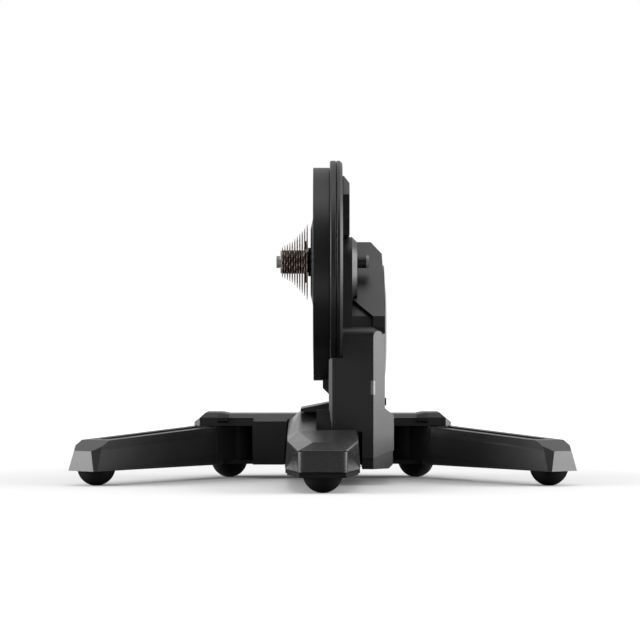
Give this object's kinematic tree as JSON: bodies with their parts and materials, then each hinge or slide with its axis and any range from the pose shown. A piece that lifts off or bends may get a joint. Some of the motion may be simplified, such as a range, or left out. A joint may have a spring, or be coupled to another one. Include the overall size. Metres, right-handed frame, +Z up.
{
  "type": "direct drive bike trainer",
  "caption": "Folding direct drive bike trainer with a through-axle hub, cassette, belt-driven flywheel and two hinged legs on rubber feet.",
  "frame": {"origin": "on the floor, straight below the middle of the hub", "axes": "+X across the bike away from the cassette, +Y towards the bike's rear, +Z up"},
  "size_m": [0.7738, 0.524, 0.4969],
  "materials": {
    "black_casting": "satin",
    "black_plastic": "matte",
    "black_rubber": "matte",
    "bright_steel": "satin",
    "black_steel": "satin",
    "cassette_nickel": "satin",
    "dark_alloy": "satin",
    "pulley_alloy": "satin",
    "cap_alloy": "satin",
    "flywheel_iron": "satin",
    "copper_wire": "satin",
    "circuit_board": "satin",
    "window_plastic": "gloss"
  },
  "bodies": {
    "stand": {"front_leg": "black_casting", "rear_crossbar": "black_casting", "column": "black_casting", "base_cover": "black_casting", "carry_handle": "black_casting", "flywheel_guard": "black_casting", "base_plate": "black_plastic", "inner_cover": "black_plastic", "cover_ring": "black_plastic", "belt_cover": "black_plastic", "cover_dome": "black_plastic", "axle_spacer": "black_plastic", "speed_sensor": "black_plastic", "side_plug": "black_plastic", "power_inlet": "black_plastic", "hinge_caps": "black_plastic", "front_sole": "black_rubber", "drive_belt": "black_rubber", "stand_feet": "black_rubber", "hub_axle": "bright_steel", "hub_bearings": "bright_steel", "idler_bracket": "bright_steel", "shaft_bearings": "bright_steel", "brake_yoke": "bright_steel", "hinge_pins": "bright_steel", "left_lever_spring": "bright_steel", "right_lever_spring": "bright_steel", "base_bolts": "black_steel", "cover_screws": "black_steel", "end_caps": "cap_alloy", "brake_coils": "copper_wire", "control_board": "circuit_board", "status_window": "window_plastic"},
    "left_leg": {"left_wing_leg": "black_casting", "left_hinge_bush": "bright_steel", "left_tip_foot": "black_rubber"},
    "right_leg": {"right_wing_leg": "black_casting", "right_hinge_bush": "bright_steel", "right_tip_foot": "black_rubber"},
    "left_lever": {"left_release_lever": "black_plastic"},
    "right_lever": {"right_release_lever": "black_plastic"},
    "pulley": {"drive_pulley": "pulley_alloy", "hub_seal": "black_rubber"},
    "cassette": {"freehub_body": "dark_alloy", "cassette_lockring": "cassette_nickel", "cog_spacers": "dark_alloy", "cog_cluster": "cassette_nickel", "cog_11": "cassette_nickel", "cog_12": "cassette_nickel", "cog_13": "cassette_nickel", "cog_14": "cassette_nickel", "cog_15": "cassette_nickel", "cog_17": "cassette_nickel", "cog_19": "cassette_nickel", "cog_21": "cassette_nickel"},
    "flywheel_group": {"flywheel": "flywheel_iron", "flywheel_shaft": "bright_steel", "small_pulley": "pulley_alloy", "flywheel_nut": "bright_steel"},
    "idler": {"idler_pulley": "bright_steel"}
  },
  "joints": [
    {"name": "left_leg_hinge", "type": "hinge", "parent": "stand", "child": "left_leg", "pos_m": [-0.152, 0.219, 0.05], "axis": [0, 0, 1], "range_deg": [0, 37]},
    {"name": "right_leg_hinge", "type": "hinge", "parent": "stand", "child": "right_leg", "pos_m": [0.152, 0.219, 0.05], "axis": [0, 0, -1], "range_deg": [0, 37]},
    {"name": "left_release", "type": "slide", "parent": "stand", "child": "left_lever", "axis": [0, 0, 1], "range_m": [0, 0.0042], "stiffness_N_per_m": 500, "springref_m": -0.002, "deforming": ["left_lever_spring"]},
    {"name": "right_release", "type": "slide", "parent": "stand", "child": "right_lever", "axis": [0, 0, 1], "range_m": [0, 0.0042], "stiffness_N_per_m": 500, "springref_m": -0.002, "deforming": ["right_lever_spring"]},
    {"name": "flywheel_spin", "type": "hinge", "parent": "stand", "child": "flywheel_group", "pos_m": [0, 0.095, 0.236], "axis": [1, 0, 0], "continuous": true},
    {"name": "pulley_spin", "type": "hinge", "parent": "stand", "child": "pulley", "pos_m": [0, 0, 0.3415], "axis": [1, 0, 0], "continuous": true},
    {"name": "freewheel", "type": "hinge", "parent": "pulley", "child": "cassette", "pos_m": [0, 0, 0.3415], "axis": [1, 0, 0], "continuous": true},
    {"name": "idler_spin", "type": "hinge", "parent": "stand", "child": "idler", "pos_m": [0, 0.06367, 0.20723], "axis": [1, 0, 0], "continuous": true}
  ],
  "couplings": [
    {"joint": "pulley_spin", "follows": "flywheel_spin", "ratio": 0.10397},
    {"joint": "idler_spin", "follows": "flywheel_spin", "ratio": -0.94615}
  ]
}
